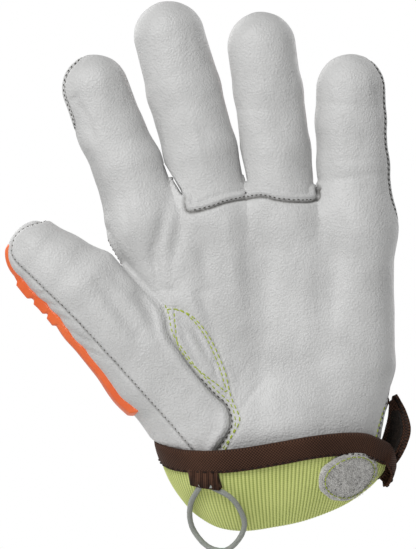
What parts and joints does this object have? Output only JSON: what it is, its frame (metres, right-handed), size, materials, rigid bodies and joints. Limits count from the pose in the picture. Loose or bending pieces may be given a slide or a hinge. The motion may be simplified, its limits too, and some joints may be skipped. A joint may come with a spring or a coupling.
{
  "type": "work glove",
  "caption": "Left-hand leather work glove with jointed fingers and thumb, rubber impact guards, knit lining and a turned-back bound cuff with a hanging loop.",
  "frame": {"origin": "centre of the hand opening, at the fold of the turned-back cuff", "axes": "+Z from the wrist to the fingers, -Y out of the palm, thumb at -X"},
  "size_m": [0.1795, 0.0861, 0.2469],
  "materials": {
    "goat_leather": "soft pale grey grain leather, low sheen",
    "knit_lining": "ribbed knit in a high-visibility lime",
    "binding_tape": "woven dark brown tape",
    "cuff_leather": "dark brown split leather",
    "loop_fastener": "grey fuzzy loop fastener",
    "hook_fastener": "dark grey moulded hooks",
    "elastic_cord": "grey elastic cord",
    "guard_rubber": "matt orange moulded rubber"
  },
  "bodies": {
    "hand": {"palm_panel": "goat_leather", "back_panel": "goat_leather", "hand_liner": "knit_lining", "thumb_panel": "goat_leather", "thumb_back_panel": "goat_leather", "thumb_gusset": "goat_leather", "knuckle_guard": "guard_rubber", "hand_guard": "guard_rubber", "thumb_root_guard": "guard_rubber", "cuff_front_shell": "cuff_leather", "cuff_front_lining": "knit_lining", "cuff_front_binding": "binding_tape", "cuff_back_shell": "cuff_leather", "cuff_back_lining": "knit_lining", "cuff_back_binding": "binding_tape", "loop_patch": "loop_fastener", "loop_anchor": "binding_tape", "hanging_loop": "elastic_cord"},
    "closure": {"closure_tab": "cuff_leather", "hook_patch": "hook_fastener"},
    "index_lower": {"index_front_lower": "goat_leather", "index_back_lower": "goat_leather", "index_liner_lower": "knit_lining", "index_guard_lower": "guard_rubber"},
    "index_upper": {"index_front_upper": "goat_leather", "index_back_upper": "goat_leather", "index_liner_upper": "knit_lining", "index_guard_upper": "guard_rubber"},
    "middle_lower": {"middle_front_lower": "goat_leather", "middle_back_lower": "goat_leather", "middle_liner_lower": "knit_lining", "middle_guard_lower": "guard_rubber"},
    "middle_upper": {"middle_front_upper": "goat_leather", "middle_back_upper": "goat_leather", "middle_liner_upper": "knit_lining", "middle_guard_upper": "guard_rubber"},
    "ring_lower": {"ring_front_lower": "goat_leather", "ring_back_lower": "goat_leather", "ring_liner_lower": "knit_lining", "ring_guard_lower": "guard_rubber"},
    "ring_upper": {"ring_front_upper": "goat_leather", "ring_back_upper": "goat_leather", "ring_liner_upper": "knit_lining", "ring_guard_upper": "guard_rubber"},
    "little_lower": {"little_front_lower": "goat_leather", "little_back_lower": "goat_leather", "little_liner_lower": "knit_lining", "little_guard_lower": "guard_rubber"},
    "little_upper": {"little_front_upper": "goat_leather", "little_back_upper": "goat_leather", "little_liner_upper": "knit_lining", "little_guard_upper": "guard_rubber"},
    "thumb_lower": {"thumb_front_lower": "goat_leather", "thumb_back_lower": "goat_leather", "thumb_liner_lower": "knit_lining", "thumb_guard_lower": "guard_rubber"},
    "thumb_upper": {"thumb_front_upper": "goat_leather", "thumb_back_upper": "goat_leather", "thumb_liner_upper": "knit_lining", "thumb_guard_upper": "guard_rubber"}
  },
  "joints": [
    {"name": "index_base_bend", "type": "hinge", "parent": "hand", "child": "index_lower", "pos_m": [-0.06794, -0.018, 0.14927], "axis": [0.9336, 0, 0.3584], "range_deg": [0, 60]},
    {"name": "index_middle_bend", "type": "hinge", "parent": "index_lower", "child": "index_upper", "pos_m": [-0.07654, -0.018, 0.17167], "axis": [0.9336, 0, 0.3584], "range_deg": [0, 70]},
    {"name": "middle_base_bend", "type": "hinge", "parent": "hand", "child": "middle_lower", "pos_m": [-0.03411, -0.018, 0.15059], "axis": [0.9659, 0, 0.2588], "range_deg": [0, 60]},
    {"name": "middle_middle_bend", "type": "hinge", "parent": "middle_lower", "child": "middle_upper", "pos_m": [-0.04342, -0.018, 0.18536], "axis": [0.9659, 0, 0.2588], "range_deg": [0, 70]},
    {"name": "ring_base_bend", "type": "hinge", "parent": "hand", "child": "ring_lower", "pos_m": [-0.00167, -0.018, 0.15188], "axis": [0.9903, 0, 0.1392], "range_deg": [0, 60]},
    {"name": "ring_middle_bend", "type": "hinge", "parent": "ring_lower", "child": "ring_upper", "pos_m": [-0.00612, -0.018, 0.18357], "axis": [0.9903, 0, 0.1392], "range_deg": [0, 70]},
    {"name": "little_base_bend", "type": "hinge", "parent": "hand", "child": "little_lower", "pos_m": [0.03212, -0.018, 0.15099], "axis": [0.9994, 0, 0.0349], "range_deg": [0, 60]},
    {"name": "little_middle_bend", "type": "hinge", "parent": "little_lower", "child": "little_upper", "pos_m": [0.03131, -0.018, 0.17398], "axis": [0.9994, 0, 0.0349], "range_deg": [0, 70]},
    {"name": "thumb_base_bend", "type": "hinge", "parent": "hand", "child": "thumb_lower", "pos_m": [-0.08631, -0.028, 0.09282], "axis": [0.4822, 0.7071, 0.5171], "range_deg": [0, 35]},
    {"name": "thumb_middle_bend", "type": "hinge", "parent": "thumb_lower", "child": "thumb_upper", "pos_m": [-0.10314, -0.028, 0.10851], "axis": [0.4822, 0.7071, 0.5171], "range_deg": [0, 55]},
    {"name": "closure_swing", "type": "hinge", "parent": "hand", "child": "closure", "pos_m": [0.04227, -0.00102, 0.02971], "axis": [0.2837, -0.3397, 0.8967], "range_deg": [-10, 60]}
  ]
}
